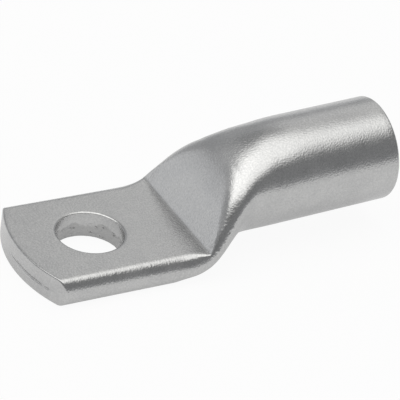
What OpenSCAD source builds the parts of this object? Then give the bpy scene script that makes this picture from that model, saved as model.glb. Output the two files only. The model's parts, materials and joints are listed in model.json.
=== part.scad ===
// Cable lug pressed from one length of round copper tube and tin-plated.
// One end stays a round barrel for the conductor. The other end is pressed
// flat into a palm with a stud hole, and an angled die leaves a flat ramp
// between the two. All lengths are in millimetres.
// The palm lies on z = 0, the stud hole is centred on the origin and the
// barrel points towards +X.

/* [Barrel] */
// Outside diameter of the round barrel
barrel_od = 16.4; // [15.6:0.1:17.2]
// Bore that takes the stripped conductor
barrel_id = 12; // [11:0.1:12.8]
// Distance from the stud hole's centre to the middle of the mouth
mouth_x = 49.1; // [44:0.1:60]
// Upward tilt of the barrel against the palm, in degrees
barrel_tilt = 2.8; // [2:0.1:3.6]
// Gap between the plane of the palm's underside and the barrel, measured under the neck's end
barrel_lift = 1.55; // [1.2:0.05:2]
// Depth of the full-diameter bore from the mouth
socket_depth = 20; // [16:0.5:22]
// Rounding of the mouth's outer edge
mouth_round = 0.35; // [0.2:0.05:0.6]

/* [Palm] */
// Width of the palm over its folded sides
palm_w = 22.3; // [21.9:0.1:22.9]
// Thickness of the palm, which is both tube walls pressed together
palm_t = 4.5; // [4.2:0.1:4.8]
// Distance from the stud hole's centre to the middle of the tip
tip_x = 12.2; // [10:0.1:14]
// Radius of the arc that the tip is cut to
tip_r = 22; // [18:0.5:30]
// Diameter of the stud hole, for a 10 mm stud
stud_d = 10.5; // [8.4:0.1:11]
// Rounding of the cut edges at the tip and the stud hole
rim_round = 0.3; // [0.15:0.05:0.5]
// Half width of the flat top at the tip
top_flat_tip = 9.3; // [9:0.05:9.6]
// Half width of the flat top at its narrowest, between the hole and the crease
top_flat_waist = 8.95; // [8.6:0.05:9.2]
// Half width of the flat underside
under_flat = 9.7; // [9.3:0.05:9.9]

/* [Neck] */
// Distance from the stud hole's centre to the crease at the foot of the ramp
crease_x = 14.9; // [13.5:0.1:15.5]
// Steepness of the flat ramp that the angled die leaves, in degrees
ramp_angle = 61; // [59:0.5:62.5]
// Width over the folded sides at the crease, where the metal is pushed out
crease_w = 22.8; // [22.4:0.1:23.2]
// Half width of the ramp at the crease
ramp_foot = 10.9; // [10.5:0.05:11]
// Distance from the stud hole's centre to the top of the ramp, where it runs out on the shoulder
ramp_end_x = 21.7; // [20.8:0.1:22.6]
// Length of the shoulder's bend on the ramp side
shoulder_in = 9.2; // [8:0.1:9.8]
// Length of the shoulder's bend on the barrel side
shoulder_out = 11.2; // [10.4:0.1:12]

/* [Hidden] */

// Shape of the folded sides: height of their widest line in the palm, and where they start and end to change
side_z_palm = 1.82;
side_rise_start = 12.2;
side_rise_end = 23.1;
bulge_start = 8;
taper_end = 24.5;
// The underside's flat closes up around the crease, and past it the underside leaves the palm's plane
under_rise_start = 15.7;
under_flat_start = 9;
under_flat_end = 19.2;
// How late the top's flat widens from its waist to the crease, and how late it narrows up the ramp
waist_power = 1.5;
ramp_power = 1.25;
// How square the corners of the sections get, where 2 is an ellipse: the upper ones at the crease,
// the upper ones on the flare and where that is, and the lower ones half way up the neck
crease_corner_power = 1.8;
flare_corner_power = 2.51;
flare_corner_x = 22.1;
lower_corner_power = 1.75;
// Narrowest strip left of a flat that has run out
strip = 0.1;
// The neck's last sections lie a little inside the barrel, so that it runs into it with no loose edge
tuck = 0.02;
tuck_end = 0.15;
overlap = 1;
seat = 0.3;
corner_steps = 9;

barrel_r = barrel_od / 2;
wall = (barrel_od - barrel_id) / 2;
neck_end = mouth_x - socket_depth;
waist_x = crease_x - 4.4;
slope = tan(barrel_tilt);

function ease(a, b, x) =
    let(t = min(1, max(0, (x - a) / (b - a))))
    t * t * (3 - 2 * t);
function mix(a, b, t) = a + (b - a) * t;
function part_way(a, b, x) = min(1, max(0, (x - a) / (b - a)));

// Height of the barrel's axis at a distance x from the stud hole
function axis_z(x) = barrel_r / cos(barrel_tilt) + barrel_lift + (x - neck_end) * slope;

// The ramp and the barrel's top line meet at this corner, which the shoulder rounds off
corner_x = (axis_z(0) + barrel_r / cos(barrel_tilt) - palm_t + crease_x * tan(ramp_angle))
    / (tan(ramp_angle) - slope);
corner_z = palm_t + (corner_x - crease_x) * tan(ramp_angle);
shoulder_a = [corner_x - shoulder_in * cos(ramp_angle), corner_z - shoulder_in * sin(ramp_angle)];
shoulder_b = [corner_x + shoulder_out * cos(barrel_tilt), corner_z + shoulder_out * sin(barrel_tilt)];

// The tube is round all over from here to the mouth
round_x = max(neck_end, shoulder_b[0]);

// Height of the shoulder's quadratic curve at x
function shoulder_z(x) =
    let(
        a = shoulder_a[0] - 2 * corner_x + shoulder_b[0],
        b = 2 * (corner_x - shoulder_a[0]),
        u = (-b + sqrt(b * b - 4 * a * (shoulder_a[0] - x))) / (2 * a)
    )
    shoulder_a[1] * pow(1 - u, 2) + 2 * corner_z * u * (1 - u) + shoulder_b[1] * u * u;

// Height of the top along the middle of the lug
function top_z(x) =
    x <= crease_x ? palm_t :
    x <= shoulder_a[0] ? palm_t + (x - crease_x) * tan(ramp_angle) :
    x < shoulder_b[0] ? shoulder_z(x) :
    axis_z(x) + barrel_r / cos(barrel_tilt);

// Height of the underside along the middle of the lug
function under_z(x) =
    ease(under_rise_start, neck_end, x) * (axis_z(x) - barrel_r / cos(barrel_tilt));

// Half width over the folded sides, and the height of their widest line
function side_y(x) =
    mix(mix(palm_w, crease_w, ease(bulge_start, crease_x, x)) / 2, barrel_r, ease(crease_x, taper_end, x));
function side_z(x) = mix(side_z_palm, axis_z(x), ease(side_rise_start, side_rise_end, x));

// Half width of the flat on top: it narrows to a waist, widens to the crease and runs out up the ramp
function top_flat(x) =
    x < waist_x ? mix(top_flat_tip, top_flat_waist, part_way(-tip_x, waist_x, x)) :
    x < crease_x ? mix(top_flat_waist, ramp_foot, pow(part_way(waist_x, crease_x, x), waist_power)) :
    ramp_foot * (1 - pow(part_way(crease_x, ramp_end_x, x), ramp_power));
function bottom_flat(x) = under_flat * (1 - ease(under_flat_start, under_flat_end, x));

// How far a section of the neck leans to stand square to the tilted barrel
function lean(x) = slope * ease(neck_end - 4, neck_end, x);
function upper_power(x) =
    x < crease_x ? mix(2, crease_corner_power, ease(waist_x, crease_x, x)) :
    x < flare_corner_x ? mix(crease_corner_power, flare_corner_power, ease(crease_x + 1, flare_corner_x, x)) :
    mix(flare_corner_power, 2, ease(flare_corner_x, neck_end, x));
function lower_power(x) = mix(2, lower_corner_power, pow(sin(180 * part_way(crease_x, neck_end, x)), 2));

// One closed section of the tube at x, a wall's thickness or a tuck further in
function section(x, in_top = 0, in_under = 0, in_side = 0) =
    let(
        top = top_z(x) - in_top,
        under = under_z(x) + in_under,
        side = side_y(x) - in_side,
        mid = min(top - 0.1, max(under + 0.1, side_z(x))),
        up_y = max(strip, min(top_flat(x), side - 0.4)),
        low_y = max(strip, min(bottom_flat(x), side - 0.4)),
        up_p = 2 / upper_power(x),
        low_p = 2 / lower_power(x),
        half = concat(
            [for (i = [0:corner_steps]) let(a = 90 * i / corner_steps)
                [up_y + (side - up_y) * pow(sin(a), up_p), mid + (top - mid) * pow(cos(a), up_p)]],
            [for (i = [1:corner_steps]) let(a = 90 * i / corner_steps)
                [low_y + (side - low_y) * pow(cos(a), low_p), mid - (mid - under) * pow(sin(a), low_p)]]
        ),
        count = len(half),
        outline = concat(half, [for (i = [1:count]) [-half[count - i][0], half[count - i][1]]])
    )
    [for (p = outline) [x - lean(x) * (p[1] - axis_z(x)), p[0], p[1]]];

// Solid through a row of sections that all have the same number of points
module loft(sections) {
    n = len(sections[0]);
    last = len(sections) - 1;
    walls = [for (k = [0:last - 1], i = [0:n - 1]) let(j = (i + 1) % n)
        each [[k * n + i, k * n + j, (k + 1) * n + i], [k * n + j, (k + 1) * n + j, (k + 1) * n + i]]];
    caps = [[for (i = [n - 1:-1:0]) i], [for (i = [0:n - 1]) last * n + i]];
    polyhedron([for (s = sections) each s], concat(walls, caps));
}

// Stations are close together where the shape turns and far apart along the palm
palm_stations = [-tip_x - 1, for (past = [-1.7, 0, 0.8, 1.6, 2.5, 3.3, 3.9]) waist_x + past];
ramp_stations = [for (i = [0:9]) mix(crease_x, ramp_end_x, i / 10)];
shoulder_stations = [for (i = [0:9]) mix(ramp_end_x, round_x - seat, i / 9)];

// The pressed end of the tube, from the palm's tip to just inside the barrel
module pressed_end() {
    rows = [for (x = concat(palm_stations, ramp_stations)) section(x)];
    last_rows = [for (x = shoulder_stations) let(t = tuck * ease(ramp_end_x, round_x, x)) section(x, t, t, t)];
    tucked = section(round_x + overlap, tuck_end, tuck_end, tuck_end);
    loft(concat(rows, last_rows, [tucked]));
}

// Places its children at the middle of the mouth, with +Z along the barrel and out of the mouth
module at_mouth() {
    translate([mouth_x, 0, axis_z(mouth_x)]) rotate([0, 90 - barrel_tilt, 0]) children();
}

// Round profile of an outer edge, as a cutter in the corner at the origin
module edge_round(r) {
    difference() {
        translate([-r, -r]) square(2 * r);
        translate([-r, -r]) circle(r, $fn = 40);
    }
}

// The part of the tube that stays round
module barrel() {
    length = (mouth_x - round_x) / cos(barrel_tilt);
    at_mouth() rotate_extrude($fn = 96) difference() {
        translate([0, -length]) square([barrel_r, length]);
        translate([barrel_r, 0]) edge_round(mouth_round);
    }
}

// Cuts the tip to its arc and takes the sharpness off that edge
module tip_trim() {
    reach = 8;
    translate([tip_r - tip_x, 0, 0]) rotate([0, 0, 130]) rotate_extrude(angle = 100, $fn = 96) {
        translate([tip_r, -2]) square([reach, palm_t + 4]);
        translate([tip_r, palm_t]) edge_round(rim_round);
        translate([tip_r, 0]) mirror([0, 1]) edge_round(rim_round);
    }
}

// The punched hole for the stud, with rounded rims
module stud_hole() {
    translate([0, 0, -1]) cylinder(h = palm_t + 2, d = stud_d, $fn = 96);
    rotate_extrude($fn = 96) {
        translate([stud_d / 2, palm_t]) mirror([1, 0]) edge_round(rim_round);
        translate([stud_d / 2, 0]) rotate(180) edge_round(rim_round);
    }
}

// The conductor's bore, and behind it the hollow of the tube, which closes to a slit at the foot of the ramp
module socket() {
    depth = socket_depth / cos(barrel_tilt);
    at_mouth() translate([0, 0, -depth]) cylinder(h = depth + 1, d = barrel_id, $fn = 96);
    at_mouth() rotate_extrude($fn = 96) translate([barrel_id / 2, 0]) mirror([1, 0]) edge_round(mouth_round);
    slit_x = crease_x + 1.8;
    dip = axis_z(neck_end) + barrel_r / cos(barrel_tilt) - top_z(neck_end);
    loft(concat(
        [for (i = [0:9]) let(
            x = mix(slit_x, neck_end - seat, i / 9),
            steep = mix(ramp_angle, barrel_tilt, ease(shoulder_a[0], shoulder_b[0], x)),
            t = wall + tuck * ease(slit_x, neck_end, x)
        ) section(x, t / cos(steep) - dip * ease(slit_x, neck_end, x), t, t)],
        [section(neck_end + overlap, wall + tuck_end, wall + tuck_end, wall + tuck_end)]
    ));
}

module cable_lug() {
    color([0.71, 0.71, 0.70]) difference() {
        union() {
            pressed_end();
            barrel();
        }
        tip_trim();
        stud_hole();
        socket();
    }
}

cable_lug();
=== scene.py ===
import json
import math

import bmesh
import bpy
from mathutils import Matrix, Vector, noise


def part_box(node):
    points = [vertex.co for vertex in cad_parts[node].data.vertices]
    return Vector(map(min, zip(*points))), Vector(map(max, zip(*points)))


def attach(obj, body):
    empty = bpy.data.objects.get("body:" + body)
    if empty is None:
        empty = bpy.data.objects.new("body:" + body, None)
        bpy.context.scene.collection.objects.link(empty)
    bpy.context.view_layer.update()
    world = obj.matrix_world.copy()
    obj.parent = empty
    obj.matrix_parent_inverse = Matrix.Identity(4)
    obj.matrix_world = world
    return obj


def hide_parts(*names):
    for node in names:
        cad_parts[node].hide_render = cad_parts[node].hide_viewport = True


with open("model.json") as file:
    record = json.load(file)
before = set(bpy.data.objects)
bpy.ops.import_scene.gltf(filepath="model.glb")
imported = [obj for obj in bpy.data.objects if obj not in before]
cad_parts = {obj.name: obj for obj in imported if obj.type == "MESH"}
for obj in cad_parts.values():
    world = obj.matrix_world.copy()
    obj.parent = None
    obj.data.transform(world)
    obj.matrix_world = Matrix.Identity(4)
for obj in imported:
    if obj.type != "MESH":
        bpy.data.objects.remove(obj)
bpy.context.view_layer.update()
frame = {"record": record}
scene = bpy.context.scene
scene.view_settings.view_transform = "Standard"

# Camera
# A long lens 0.4 m away looks down on the stud hole's side of the lug. It is rolled a little, so that
# the palm's long edges climb to the right.
camera_azimuth = math.radians(-33.85)
camera_elevation = math.radians(33.05)
camera_roll = math.radians(9.43)
camera_distance = 0.4
camera_aim = Vector((0.0189, 0.00039, 0.00634))
camera_back = Vector((
    math.sin(camera_azimuth) * math.cos(camera_elevation),
    -math.cos(camera_azimuth) * math.cos(camera_elevation),
    math.sin(camera_elevation),
))
level_right = Vector((0, 0, 1)).cross(camera_back).normalized()
camera_data = bpy.data.cameras.new("camera")
camera_data.lens = 235.1
camera_data.sensor_width = 36
camera_data.clip_start = 0.01
camera_data.clip_end = 50
camera = bpy.data.objects.new("camera", camera_data)
scene.collection.objects.link(camera)
camera_right = Matrix.Rotation(camera_roll, 3, camera_back) @ level_right
camera_up = camera_back.cross(camera_right)
camera_turn = Matrix((camera_right, camera_up, camera_back)).transposed()
camera.matrix_world = Matrix.LocRotScale(camera_aim + camera_back * camera_distance, camera_turn, None)
scene.camera = camera

# The lug
# One length of round copper tube. One end is pressed flat into the palm by an angled die, which leaves
# the ramp and the crease, then the hole is punched, the tip is cut to an arc, and it is tin-plated.
# It is shaped here in millimetres, like its drawing, and scaled to metres at the end.
mounts = {mount["name"]: mount for mount in frame["record"]["mounts"]}
box_low, box_high = (corner * 1000 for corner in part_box("cable_lug"))
hole_r = mounts["stud_hole"]["dims"]["r_mm"]
palm_t = mounts["stud_hole"]["dims"]["length_mm"]
bore_r = mounts["conductor_socket"]["dims"]["r_mm"]
socket_depth = mounts["conductor_socket"]["dims"]["length_mm"]
mouth_x, _, mouth_z = (length * 1000 for length in mounts["conductor_socket"]["pos_m"])
mouth_axis = mounts["conductor_socket"]["axis"]
tilt = math.atan2(mouth_axis[2], mouth_axis[0])
tip_x = -box_low.x
crease_w = box_high.y - box_low.y
barrel_r = 8.2
wall = barrel_r - bore_r
mouth_round = 0.35
palm_w = 22.3
tip_r = 22
rim_round = 0.3
top_flat_tip, top_flat_waist, under_flat = 9.3, 8.95, 9.7
side_z_palm = 1.82
crease_x = 14.9
crease_bend = 0.2
ramp_angle = math.radians(61)
ramp_foot = 10.9
ramp_end_x = 21.7
shoulder_in, shoulder_out = 9.2, 11.2
waist_x = crease_x - 4.4
neck_end = mouth_x - socket_depth
slope = math.tan(tilt)
steepness = math.tan(ramp_angle)
# Where the folded sides start to widen, have narrowed to the barrel, and start and end to rise
bulge_x, taper_end_x = 8, 24.5
side_rise_x, side_risen_x = 12.2, 23.1
# Where the underside's flat starts to close up and has closed, and where the underside starts to rise
under_flat_x, under_closed_x = 9, 19.2
under_rise_x = 15.7
# How late the top's flat widens from its waist to the crease, and how late it narrows up the ramp
waist_power, ramp_power = 1.5, 1.25
# How square the corners of the sections get, where 2 is an ellipse
ellipse = 2
under_corner, crease_corner, flare_corner = 1.75, 1.8, 2.51
flare_corner_x = 22.1


def ease(a, b, x):
    t = min(1, max(0, (x - a) / (b - a)))
    return t * t * (3 - 2 * t)


def part_way(a, b, x):
    return min(1, max(0, (x - a) / (b - a)))


def mix(a, b, t):
    return a + (b - a) * t


def axis_z(x):
    return mouth_z + (x - mouth_x) * slope


# The shoulder is a quadratic curve over the corner where the ramp's line meets the barrel's top line
half_height = barrel_r / math.cos(tilt)
corner_x = (axis_z(0) + half_height - palm_t + crease_x * steepness) / (steepness - slope)
corner_z = palm_t + (corner_x - crease_x) * steepness
shoulder_ax = corner_x - shoulder_in * math.cos(ramp_angle)
shoulder_az = corner_z - shoulder_in * math.sin(ramp_angle)
shoulder_bx = corner_x + shoulder_out * math.cos(tilt)
shoulder_bz = corner_z + shoulder_out * math.sin(tilt)


def top_z(x):
    if x <= crease_x - crease_bend:
        return palm_t
    if x < crease_x + crease_bend:
        return palm_t + steepness * (x - crease_x + crease_bend) ** 2 / (4 * crease_bend)
    if x <= shoulder_ax:
        return palm_t + (x - crease_x) * steepness
    if x >= shoulder_bx:
        return axis_z(x) + half_height
    a = shoulder_ax - 2 * corner_x + shoulder_bx
    b = 2 * (corner_x - shoulder_ax)
    u = (-b + math.sqrt(b * b - 4 * a * (shoulder_ax - x))) / (2 * a)
    return shoulder_az * (1 - u) ** 2 + 2 * corner_z * u * (1 - u) + shoulder_bz * u * u


def under_z(x):
    return ease(under_rise_x, neck_end, x) * (axis_z(x) - half_height)


def side_y(x):
    palm_side = mix(palm_w, crease_w, ease(bulge_x, crease_x, x)) / 2
    return mix(palm_side, barrel_r, ease(crease_x, taper_end_x, x))


def side_z(x):
    return mix(side_z_palm, axis_z(x), ease(side_rise_x, side_risen_x, x))


def top_flat(x):
    if x < waist_x:
        return mix(top_flat_tip, top_flat_waist, part_way(-tip_x, waist_x, x))
    if x < crease_x:
        return mix(top_flat_waist, ramp_foot, part_way(waist_x, crease_x, x) ** waist_power)
    return ramp_foot * (1 - part_way(crease_x, ramp_end_x, x) ** ramp_power)


def bottom_flat(x):
    return under_flat * (1 - ease(under_flat_x, under_closed_x, x))


def corner_power(x, upper):
    if not upper:
        return mix(ellipse, under_corner, math.sin(math.pi * part_way(crease_x, neck_end, x)) ** 2)
    if x < crease_x:
        return mix(ellipse, crease_corner, ease(waist_x, crease_x, x))
    if x < flare_corner_x:
        return mix(crease_corner, flare_corner, ease(crease_x + 1, flare_corner_x, x))
    return mix(flare_corner, ellipse, ease(flare_corner_x, neck_end, x))


def dip(x):
    """How far the top lies under the round barrel's."""
    return axis_z(x) + half_height - top_z(x)


# Steps in a quarter of a section, and the least height and width that its rounded sides keep
quarter = 48
columns = 4 * quarter
side_room, side_room_share = 0.1, 0.4
side_width = 0.4
# A rounded corner is about this many times as long as the straight line across it
corner_length = 1.11
# The neck's last sections lean to stand square to the tilted barrel
lean_length = 4


def wall_point(x, col, insets, pinched=False):
    """The tube's wall at station x, col steps round from the near side, moved in by the insets."""
    top_in, under_in, side_in = insets
    top, under, side = top_z(x) - top_in, under_z(x) + under_in, side_y(x) - side_in
    room = min(side_room, side_room_share * (top - under))
    mid = min(top - room, max(under + room, side_z(x)))
    upper = col <= 2 * quarter
    middle = quarter if upper else 3 * quarter
    share = abs(col - middle) / quarter
    hand = 1 if (col > middle) == upper else -1
    if pinched:
        y, z = side * share, (top + under) / 2
    else:
        edge = top if upper else under
        flat = max(0, min(top_flat(x) if upper else bottom_flat(x), side - side_width))
        power = 2 / corner_power(x, upper)
        bend = corner_length * math.hypot(side - flat, edge - mid)
        flat_share = flat / (flat + bend)
        if share <= flat_share:
            y, z = flat * share / max(flat_share, 1e-9), edge
        else:
            turn = math.pi / 2 * (share - flat_share) / (1 - flat_share)
            y = flat + (side - flat) * math.sin(turn) ** power
            z = mid + (edge - mid) * max(0, math.cos(turn)) ** power
    lean = slope * ease(neck_end - lean_length, neck_end, x)
    above = (z - axis_z(x)) / (1 + slope * lean)
    tip_share = 1 - part_way(-tip_x, 0, x)
    tip_arc = tip_r - math.sqrt(tip_r ** 2 - y * y)
    return Vector((x - lean * above + tip_arc * tip_share, hand * y, axis_z(x) + above))


def spread(a, b, count):
    """Stations from a to b, without b."""
    return [mix(a, b, i / count) for i in range(count)]


def even(inset):
    return (inset, inset, inset)


# Rows of the wall from the hollow's closed end out to the mouth, back over the outside and down to the
# tip. Each has its station, how far it is moved in above, below and at the sides, and if it is pinched.
hollow_x = crease_x + 1.8
closed_x = hollow_x - 1.2
hollow_steps, socket_steps, barrel_steps, neck_steps = 36, 20, 20, 38
ramp_steps, crease_steps, palm_steps, tip_steps = 34, 6, 49, 40
round_steps = 6
quarter_turn = [math.pi / 2 * i / round_steps for i in range(round_steps + 1)]
mouth_edge = mouth_x - mouth_round
rows = [(closed_x, (top_z(closed_x) - palm_t / 2, palm_t / 2, wall), True)]
for x in spread(hollow_x, neck_end, hollow_steps):
    steep = mix(ramp_angle, tilt, ease(shoulder_ax, shoulder_bx, x))
    top_inset = wall / math.cos(steep) - dip(neck_end) * ease(hollow_x, neck_end, x)
    rows.append((x, (top_inset, wall, wall), False))
rows += [(x, (wall - dip(x), wall, wall), False) for x in spread(neck_end, mouth_edge, socket_steps)]
for a in quarter_turn:
    x = mouth_edge + mouth_round * math.sin(a)
    rows.append((x, even(wall - mouth_round + mouth_round * math.cos(a)), False))
rows.append((mouth_x, even(wall / 2), False))
for a in quarter_turn:
    rows.append((mouth_edge + mouth_round * math.cos(a), even(mouth_round * (1 - math.sin(a))), False))
outside = spread(mouth_edge, neck_end, barrel_steps)[1:]
outside += spread(neck_end, ramp_end_x, neck_steps)
outside += spread(ramp_end_x, crease_x + crease_bend, ramp_steps)
outside += spread(crease_x + crease_bend, crease_x - crease_bend, crease_steps)
outside += spread(crease_x - crease_bend, 0, palm_steps)
outside += spread(0, rim_round - tip_x, tip_steps)
rows += [(x, even(0), False) for x in outside]
hole_row = next(i for i, row in enumerate(rows) if row[0] == 0)
for a in quarter_turn:
    rows.append((rim_round * (1 - math.sin(a)) - tip_x, even(rim_round * (1 - math.cos(a))), False))
# The two walls meet in the end face and stay a little apart there, from 7 mm on the near side to 2 mm
seam_z, seam_gap, seam_depth = 1.9, 0.09, 0.2
seam_near_end, seam_near = 9.4, 7
seam_far_end, seam_far = -3, 2
slit = (palm_t - seam_z - seam_gap, seam_z - seam_gap, wall)
for t in (0.3, 0.7, 1):
    rows.append((-tip_x, tuple(mix(rim_round, inset, t) for inset in slit), False))
seam_row = len(rows)
rows.append((-tip_x, (palm_t - seam_z, seam_z, wall), True))

# The flat sheet of the wall, with a block of faces left out above and below for the hole
hole_rows, hole_columns = 18, 20
ring_out = 1.5
hole_rim = 0.42
merge_gap = 0.0005
lug_mesh = bmesh.new()
bmesh.ops.create_grid(lug_mesh, x_segments=len(rows) - 1, y_segments=columns, size=0.5)


def grid_place(vert):
    return round((vert.co.x + 0.5) * (len(rows) - 1)), round((vert.co.y + 0.5) * columns)


def hole_reach(row, col):
    """1 on the edge of the block that the hole takes out, and how far round it the place is."""
    middle = quarter if col <= 2 * quarter else 3 * quarter
    along, across = (row - hole_row) / hole_rows, (col - middle) / hole_columns
    return max(abs(along), abs(across)), Vector((-along, across if col <= 2 * quarter else -across))


places = {vert: grid_place(vert) for vert in lug_mesh.verts}
punched = [f for f in lug_mesh.faces if all(hole_reach(*places[v])[0] <= 1 for v in f.verts)]
bmesh.ops.delete(lug_mesh, geom=punched, context="FACES")
for vert in lug_mesh.verts:
    row, col = places[vert]
    x, insets, pinched = rows[row]
    point = wall_point(x, col, insets, pinched)
    reach, direction = hole_reach(row, col)
    if reach < ring_out:
        ring = direction.normalized() * (hole_r + hole_rim) * reach
        t = ease(1, ring_out, reach)
        point.x, point.y = mix(ring.x, point.x, t), mix(ring.y, point.y, t)
    if row == seam_row:
        near_fade = ease(seam_near_end, seam_near, -point.y)
        far_fade = ease(seam_far_end, seam_far, -point.y)
        point.x += seam_depth * near_fade * far_fade * (0.8 + 0.6 * noise.noise(point * 1.5))
    vert.co = point
bmesh.ops.remove_doubles(lug_mesh, verts=lug_mesh.verts, dist=merge_gap)

# The wall of the hole: a rim that the punch pulled down, a smooth sheared band, and a torn one below it
rim_turn = math.radians(42)
rim_arc = hole_rim / math.sin(rim_turn)
rim_gap = 0.02
band_steps = 28
sheared_z, sheared_wave = 2.5, 0.9
torn_start = 0.22
tear_mean, tear_coarse, tear_fine, tear_least = 0.1, 0.13, 0.1, 0.01
wave_place = Vector((0, 0, 7))
hole_profile = []
for i in range(1, round_steps + 1):
    a = rim_turn * i / round_steps
    hole_profile.append((hole_r + hole_rim - rim_arc * math.sin(a), palm_t - rim_arc * (1 - math.cos(a))))
rim_depth = palm_t - hole_profile[-1][1]
hole_profile += [(hole_r, z) for z in spread(palm_t - rim_depth - rim_gap, rim_depth + rim_gap, band_steps)]
hole_profile += [(r, palm_t - z) for r, z in reversed(hole_profile[:round_steps])]
hole_profile.append((hole_r + hole_rim, 0))
rim = [e for e in lug_mesh.edges if e.is_boundary and all(abs(v.co.z - palm_t) < 0.001 for v in e.verts)]
for radius, z in hole_profile:
    grown = bmesh.ops.extrude_edge_only(lug_mesh, edges=rim)["geom"]
    ring_verts = {g for g in grown if isinstance(g, bmesh.types.BMVert)}
    rim = [e for e in lug_mesh.edges if e.is_boundary and all(v in ring_verts for v in e.verts)]
    for vert in ring_verts:
        bearing = Vector((vert.co.x, vert.co.y, 0)).normalized()
        sheared_to = sheared_z + sheared_wave * noise.noise(bearing * 3.5 + wave_place)
        torn = ease(0, torn_start, sheared_to - z) * ease(0, 2 * rim_depth, z)
        spot = bearing * hole_r + Vector((0, 0, z))
        tear = tear_mean + tear_coarse * noise.noise(spot * 1.6) + tear_fine * noise.noise(spot * 3.7)
        vert.co = bearing * (radius + torn * max(tear_least, tear)) + Vector((0, 0, z))
bmesh.ops.remove_doubles(lug_mesh, verts=lug_mesh.verts, dist=merge_gap)
bmesh.ops.recalc_face_normals(lug_mesh, faces=lug_mesh.faces)
for face in lug_mesh.faces:
    face.smooth = True
bmesh.ops.scale(lug_mesh, vec=Vector((0.001, 0.001, 0.001)), verts=lug_mesh.verts)
lug_data = bpy.data.meshes.new("tinned_lug")
lug_mesh.to_mesh(lug_data)
lug_mesh.free()
lug = bpy.data.objects.new("tinned_lug", lug_data)
scene.collection.objects.link(lug)


def add(tree, kind, inputs=None, **settings):
    """Add a node, with each of its inputs set to a value or linked to another node's output."""
    node = tree.nodes.new(kind)
    for name, setting in settings.items():
        setattr(node, name, setting)
    for socket, value in (inputs or {}).items():
        if isinstance(value, bpy.types.NodeSocket):
            tree.links.new(value, node.inputs[socket])
        else:
            node.inputs[socket].default_value = value
    return node


def calculate(tree, operation, a, b=0.0):
    return add(tree, "ShaderNodeMath", {0: a, 1: b}, operation=operation).outputs[0]


def fade(tree, value, start, end, low, high):
    """low up to start, high from end on, and a smooth change between."""
    return add(tree, "ShaderNodeMapRange", {
        "Value": value, "From Min": start, "From Max": end, "To Min": low, "To Max": high,
    }, interpolation_type="SMOOTHSTEP").outputs["Result"]


def mottle(tree, place, stretch, scale, detail=2.0):
    """Noise with so many spots to the metre, drawn out along the axes where the stretch is small."""
    spots = add(tree, "ShaderNodeMapping", {"Vector": place, "Scale": stretch}).outputs["Vector"]
    speckle = add(tree, "ShaderNodeTexNoise", {"Vector": spots, "Scale": scale, "Detail": detail})
    return speckle.outputs["Fac"]


def dented(tree, height, depth, normal=None):
    """Normals of a surface whose height changes by up to a depth in metres."""
    inputs = {"Height": height, "Distance": depth, "Strength": 1.0}
    if normal is not None:
        inputs["Normal"] = normal
    return add(tree, "ShaderNodeBump", inputs).outputs["Normal"]


# Tin plate, dull and a little frosted: fine grain all over, drawn lines across the folded sides, and
# orange peel where the crease is pressed hardest. These places are in metres.
folded_y, folded_x = (0.0090, 0.0098), (0.014, 0.022)
pressed_y, pressed_from_x, pressed_to_x = (0.0085, 0.0098), (0.013, 0.016), (0.019, 0.022)
# Painted shade in the hole: where it lies, and how dark it is painted
shade_in_hole_r, shade_in_hole_z, shade_in_hole_ragged = (0.0056, 0.0058), (0.0021, 0.0027), 0.0005
painted_shade_in_hole = 0.8
dark_tin, pale_tin = (0.49, 0.491, 0.492, 1), (0.592, 0.591, 0.588, 1)
smooth_tin, dull_tin = 0.21, 0.27
grain_depth, line_depth, peel_depth = 0.00002, 0.000025, 0.00006
evenly = (1, 1, 1)
tin = bpy.data.materials.new("matt_tin_plate")
tin.use_nodes = True
tin_tree = tin.node_tree
tin_shader = tin_tree.nodes["Principled BSDF"]
tin_place = add(tin_tree, "ShaderNodeTexCoord").outputs["Object"]
tin_axes = add(tin_tree, "ShaderNodeSeparateXYZ", {"Vector": tin_place}).outputs
tin_off_middle = calculate(tin_tree, "ABSOLUTE", tin_axes["Y"])
clouds = mottle(tin_tree, tin_place, evenly, 260.0, 3.0)
grain = mottle(tin_tree, tin_place, evenly, 3600.0, 0.0)
specks = mottle(tin_tree, tin_place, evenly, 3700.0, 0.0)
drawn_lines = mottle(tin_tree, tin_place, (1, 0.12, 0.12), 3000.0, 1.0)
peel = mottle(tin_tree, tin_place, evenly, 2100.0, 0.0)
folded = calculate(
    tin_tree, "MULTIPLY",
    fade(tin_tree, tin_off_middle, *folded_y, 0.0, 1.0),
    fade(tin_tree, tin_axes["X"], *folded_x, 1.0, 0.0),
)
pressed_along = calculate(
    tin_tree, "MULTIPLY",
    fade(tin_tree, tin_axes["X"], *pressed_from_x, 0.0, 1.0),
    fade(tin_tree, tin_axes["X"], *pressed_to_x, 1.0, 0.0),
)
pressed = calculate(
    tin_tree, "MULTIPLY", fade(tin_tree, tin_off_middle, *pressed_y, 0.0, 1.0), pressed_along,
)
shade = calculate(tin_tree, "MULTIPLY", calculate(tin_tree, "ADD", clouds, specks), 0.5)
tin_tone = add(tin_tree, "ShaderNodeValToRGB", {"Fac": shade})
tin_tone.color_ramp.elements[0].position = 0.32
tin_tone.color_ramp.elements[0].color = dark_tin
tin_tone.color_ramp.elements[1].position = 0.68
tin_tone.color_ramp.elements[1].color = pale_tin
grained = dented(tin_tree, grain, grain_depth)
lined = dented(tin_tree, calculate(tin_tree, "MULTIPLY", drawn_lines, folded), line_depth, grained)
peeled = dented(tin_tree, calculate(tin_tree, "MULTIPLY", peel, pressed), peel_depth, lined)
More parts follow.
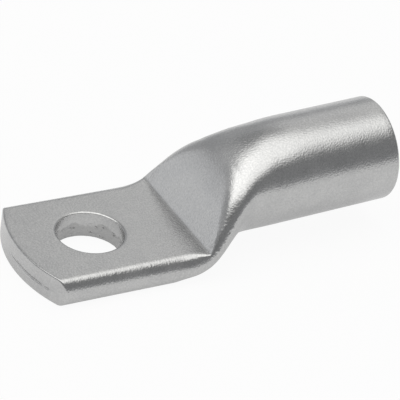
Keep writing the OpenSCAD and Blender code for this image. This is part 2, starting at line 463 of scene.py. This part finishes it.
# Painted shade: the torn band low in the hole is a little darker, up to a ragged edge
flat_place = add(
    tin_tree, "ShaderNodeVectorMath", {0: tin_place, 1: (1, 1, 0)}, operation="MULTIPLY",
).outputs["Vector"]
from_hole = add(tin_tree, "ShaderNodeVectorMath", {0: flat_place}, operation="LENGTH").outputs["Value"]
streaks = mottle(tin_tree, tin_place, (1, 1, 0.3), 700.0)
ragged = fade(tin_tree, streaks, 0.3, 0.7, -shade_in_hole_ragged, shade_in_hole_ragged)
shade_in_hole_from = calculate(tin_tree, "ADD", tin_axes["Z"], ragged)
shade_in_hole_band = calculate(
    tin_tree, "MULTIPLY",
    fade(tin_tree, from_hole, *shade_in_hole_r, 1.0, 0.0),
    fade(tin_tree, shade_in_hole_from, *shade_in_hole_z, 1.0, 0.0),
)
# The tin's mottled tone, with the painted shade in the hole
tin_colour_and_painted_shade = add(tin_tree, "ShaderNodeVectorMath", {
    0: tin_tone.outputs["Color"], "Scale": fade(tin_tree, shade_in_hole_band, 0.0, 1.0, 1.0, painted_shade_in_hole),
}, operation="SCALE").outputs["Vector"]
tin_tree.links.new(tin_colour_and_painted_shade, tin_shader.inputs["Base Color"])
tin_tree.links.new(fade(tin_tree, clouds, 0.3, 0.7, smooth_tin, dull_tin), tin_shader.inputs["Roughness"])
tin_tree.links.new(peeled, tin_shader.inputs["Normal"])
tin_shader.inputs["Metallic"].default_value = 1
lug_data.materials.append(tin)
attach(lug, "root")
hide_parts("cable_lug")

# The floor
# A plain white sheet that the lug lies on. The lens sees it lit evenly, apart from a little of the lug's
# shadow, and the metal mirrors it a little dimmer.
floor_half_side = 4
floor_drop = 0.00002
evenly_lit, evenly_in_metal = 0.93, 0.55
floor_mesh = bmesh.new()
bmesh.ops.create_grid(floor_mesh, x_segments=1, y_segments=1, size=floor_half_side)
bmesh.ops.translate(floor_mesh, verts=floor_mesh.verts, vec=(0, 0, -floor_drop))
floor_data = bpy.data.meshes.new("floor")
floor_mesh.to_mesh(floor_data)
floor_mesh.free()
floor = bpy.data.objects.new("floor", floor_data)
scene.collection.objects.link(floor)
paper = bpy.data.materials.new("white_paper")
paper.use_nodes = True
paper_tree = paper.node_tree
paper_shader = paper_tree.nodes["Principled BSDF"]
paper_shader.inputs["Base Color"].default_value = (0.9, 0.9, 0.9, 1)
paper_shader.inputs["Roughness"].default_value = 1
paper_shader.inputs["Specular IOR Level"].default_value = 0
rays = add(paper_tree, "ShaderNodeLightPath").outputs
seen = calculate(paper_tree, "ADD", rays["Is Camera Ray"], rays["Is Transmission Ray"])
mirrored = calculate(paper_tree, "MULTIPLY", rays["Is Glossy Ray"], evenly_in_metal)
seen_at_all = calculate(paper_tree, "ADD", seen, mirrored)
paper_glow = add(paper_tree, "ShaderNodeEmission", {"Color": (1, 1, 1, 1), "Strength": 1.0})
paper_mix = add(paper_tree, "ShaderNodeMixShader", {
    0: calculate(paper_tree, "MULTIPLY", seen_at_all, evenly_lit),
    1: paper_shader.outputs["BSDF"],
    2: paper_glow.outputs["Emission"],
})
paper_tree.links.new(paper_mix.outputs["Shader"], paper_tree.nodes["Material Output"].inputs["Surface"])
floor_data.materials.append(paper)

# The studio
# A grey room, paler at the back. One long softbox hangs overhead and is a little stronger to the left,
# a fainter reflector hangs behind it on the right, and a weak lamp stands low at the back on the left.
panel_turn = math.radians(153)
softbox_left, softbox_right = 1.9, 1.68
reflector_power = 1.27
wall_at_floor, wall_above = 0.42, 0.285
wall_overhead, wall_at_back = 0.5, 1.65
lamp_direction = (-0.6248, 0.7481, 0.2238)
lamp_edge, lamp_power = 0.937, 0.3
warm_white, cool_white = (1, 0.997, 0.98, 1), (0.985, 0.996, 1.01, 1)
world = bpy.data.worlds.new("studio")
scene.world = world
world.use_nodes = True
sky = world.node_tree
sky.nodes.clear()
sky_direction = add(sky, "ShaderNodeTexCoord").outputs["Object"]
sky_axes = add(sky, "ShaderNodeSeparateXYZ", {"Vector": sky_direction}).outputs
height = calculate(sky, "MAXIMUM", sky_axes["Z"], 0.05)
on_ceiling = add(sky, "ShaderNodeVectorMath", {
    0: sky_direction, "Scale": calculate(sky, "DIVIDE", 1.0, height),
}, operation="SCALE").outputs["Vector"]


def panel(centre, half_length, half_width, edge):
    """1 inside a rectangle on a ceiling one unit up, fading to 0 over its edge."""
    local = add(sky, "ShaderNodeMapping", {
        "Vector": on_ceiling, "Location": (*centre, 0), "Rotation": (0, 0, panel_turn),
    }, vector_type="TEXTURE").outputs["Vector"]
    axes = add(sky, "ShaderNodeSeparateXYZ", {"Vector": local}).outputs
    along = calculate(sky, "ABSOLUTE", axes["X"])
    across = calculate(sky, "ABSOLUTE", axes["Y"])
    return calculate(
        sky, "MULTIPLY",
        fade(sky, along, half_length - edge, half_length + edge, 1.0, 0.0),
        fade(sky, across, half_width - edge, half_width + edge, 1.0, 0.0),
    )


softbox = panel(centre=(-0.096, 0.01), half_length=0.79, half_width=0.5, edge=0.28)
reflector = panel(centre=(0.781, 0.872), half_length=0.05, half_width=1.385, edge=0.85)
past_softbox = calculate(sky, "SUBTRACT", 1.0, softbox)
past_reflector = calculate(sky, "SUBTRACT", 1.0, reflector)
open_softbox = calculate(sky, "MULTIPLY", softbox, past_reflector)
ceiling_axes = add(sky, "ShaderNodeSeparateXYZ", {"Vector": on_ceiling}).outputs
softbox_power = fade(sky, ceiling_axes["X"], -0.6, 0.6, softbox_left, softbox_right)
panel_light = calculate(
    sky, "ADD",
    calculate(sky, "MULTIPLY", open_softbox, softbox_power),
    calculate(sky, "MULTIPLY", reflector, reflector_power),
)
low_walls = fade(sky, sky_axes["Z"], 0.0, 0.25, wall_at_floor, wall_above)
high_walls = calculate(sky, "MULTIPLY", low_walls, fade(sky, sky_axes["Z"], 0.55, 0.8, 1.0, wall_overhead))
walls = calculate(sky, "MULTIPLY", high_walls, fade(sky, sky_axes["Y"], -0.573, 0.573, 1.0, wall_at_back))
toward_lamp = add(
    sky, "ShaderNodeVectorMath", {0: sky_direction, 1: lamp_direction}, operation="DOT_PRODUCT",
).outputs["Value"]
lamp = fade(sky, toward_lamp, lamp_edge, 1.0, 0.0, lamp_power)
uncovered = calculate(sky, "MULTIPLY", past_softbox, past_reflector)
room_light = calculate(sky, "MULTIPLY", calculate(sky, "ADD", walls, lamp), uncovered)
warm = add(sky, "ShaderNodeBackground", {"Color": warm_white, "Strength": panel_light})
cool = add(sky, "ShaderNodeBackground", {"Color": cool_white, "Strength": room_light})
both = add(sky, "ShaderNodeAddShader", {0: warm.outputs["Background"], 1: cool.outputs["Background"]})
add(sky, "ShaderNodeOutputWorld", {"Surface": both.outputs["Shader"]})
